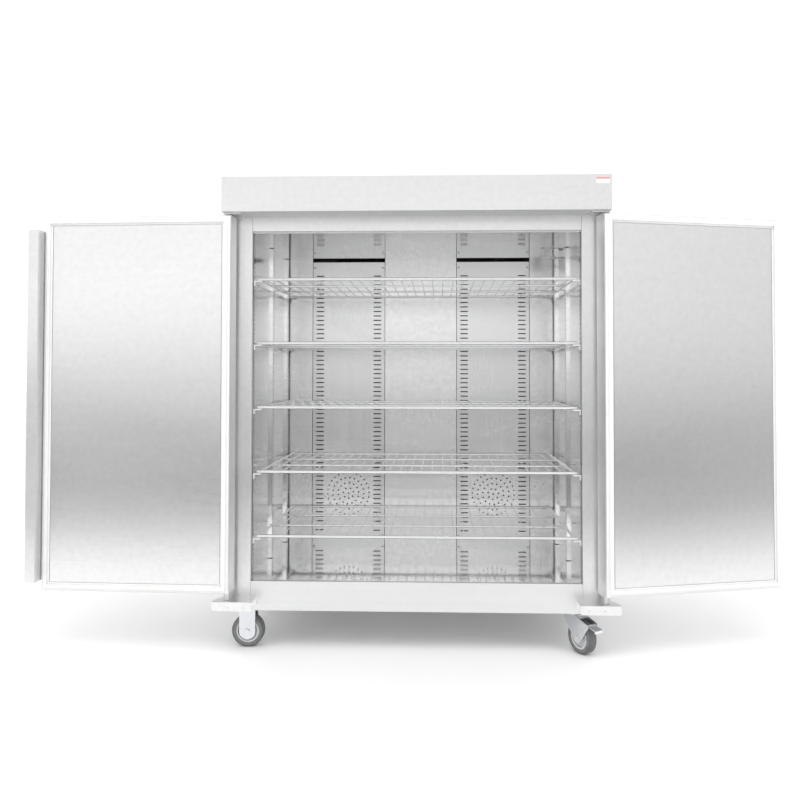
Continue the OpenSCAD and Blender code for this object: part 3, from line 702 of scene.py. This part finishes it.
up_tone = tone_ramp(tree, card_split.outputs["Z"], 0.0, CARD_TOP, UPWARD)
RIGHTWARD = [(-CARD_HALF, 1.0), (1.4, 1.0), (3.0, 0.61), (CARD_HALF, 0.61)]
side_tone = tone_ramp(tree, card_split.outputs["X"], -CARD_HALF, CARD_HALF, RIGHTWARD)
both_tones = add_node(tree, "ShaderNodeMix", data_type="RGBA", blend_type="DARKEN")
both_tones.inputs["Factor"].default_value = 1.0
join(tree, up_tone, [s for s in both_tones.inputs if s.name == "A" and s.type == "RGBA"][0])
join(tree, side_tone, [s for s in both_tones.inputs if s.name == "B" and s.type == "RGBA"][0])
join(tree, [s for s in both_tones.outputs if s.type == "RGBA"][0], shader.inputs["Emission Color"])
shader.inputs["Emission Strength"].default_value = CARD_GLOW
shader.inputs["Base Color"].default_value = (0.0, 0.0, 0.0, 1.0)
shader.inputs["Specular IOR Level"].default_value = 0.0
card_mesh.materials.append(card_material)
card.visible_camera = False
card.visible_diffuse = False
card.visible_shadow = False

MAT_DEPTH = 1.25
MAT_LIFT = 0.004
MAT_WIDER = 0.55
MAT_SLANT = (1.0, 1.6)
near_edge = card_y + MAT_DEPTH
wide_edge = card_y + MAT_DEPTH + MAT_WIDER
mat_corners = ((-CARD_HALF, card_y), (CARD_HALF, card_y), (CARD_HALF, wide_edge),
               (MAT_SLANT[1], wide_edge), (MAT_SLANT[0], near_edge), (-CARD_HALF, near_edge))
work = bmesh.new()
work.faces.new([work.verts.new((x, y, MAT_LIFT)) for x, y in mat_corners])
mat_mesh = bpy.data.meshes.new("dark mat")
work.to_mesh(mat_mesh)
work.free()
mat = bpy.data.objects.new("dark mat", mat_mesh)
bpy.context.scene.collection.objects.link(mat)
mat_mesh.materials.append(make_plastic("dark felt", (0.10, 0.10, 0.10), (0.18, 0.18, 0.18),
                                       (0.8, 0.95), 0.4))
mat.visible_camera = False
mat.visible_diffuse = False
mat.visible_shadow = False
print("card is", CARD_HALF * 2, "m wide and", CARD_TOP, "m high")

# %% World
world = bpy.data.worlds.new("white studio")
bpy.context.scene.world = world
world.use_nodes = True
tree = world.node_tree
background = tree.nodes["Background"]
world_coords = add_node(tree, "ShaderNodeTexCoord")
world_split = add_node(tree, "ShaderNodeSeparateXYZ")
join(tree, world_coords.outputs["Generated"], world_split.inputs[0])
SKY_STRENGTH = 1.1
SKY_STOPS = [(-1.0, 0.85), (-0.12, 0.62), (0.0, 0.50), (0.10, 0.62), (0.30, 0.90), (1.0, 0.95)]
sky_tone = tone_ramp(tree, world_split.outputs["Z"], -1.0, 1.0, SKY_STOPS)
seen = add_node(tree, "ShaderNodeLightPath")
plain_white = mix_colour(tree, seen.outputs["Is Glossy Ray"], (1.0, 1.0, 1.0), sky_tone)
join(tree, plain_white, background.inputs["Color"])
background.inputs["Strength"].default_value = SKY_STRENGTH
print("world ramp has", len(SKY_STOPS), "steps")


# %% Lamps
def soft_lamp(name, place, target, size, power):
    data = bpy.data.lights.new(name, "AREA")
    data.shape = "RECTANGLE"
    data.size, data.size_y = size
    data.energy = power
    lamp = bpy.data.objects.new(name, data)
    lamp.location = place
    lamp.rotation_euler = (Vector(target) - Vector(place)).to_track_quat("-Z", "Y").to_euler()
    lamp.visible_glossy = False
    bpy.context.scene.collection.objects.link(lamp)
    return lamp


MIDDLE = (0.0, 0.0, 0.75)
soft_lamp("overhead softbox", (0.0, -2.2, 3.6), MIDDLE, (3.4, 1.8), 48)
soft_lamp("left softbox", (-3.4, -2.6, 1.9), MIDDLE, (1.6, 2.2), 13)
soft_lamp("right softbox", (3.4, -2.8, 1.8), MIDDLE, (1.6, 2.2), 13)
soft_lamp("rear softbox", (0.6, 3.6, 2.6), MIDDLE, (3.0, 1.6), 12)
bpy.context.scene.view_settings.view_transform = "Standard"
bpy.context.scene.view_settings.look = "None"
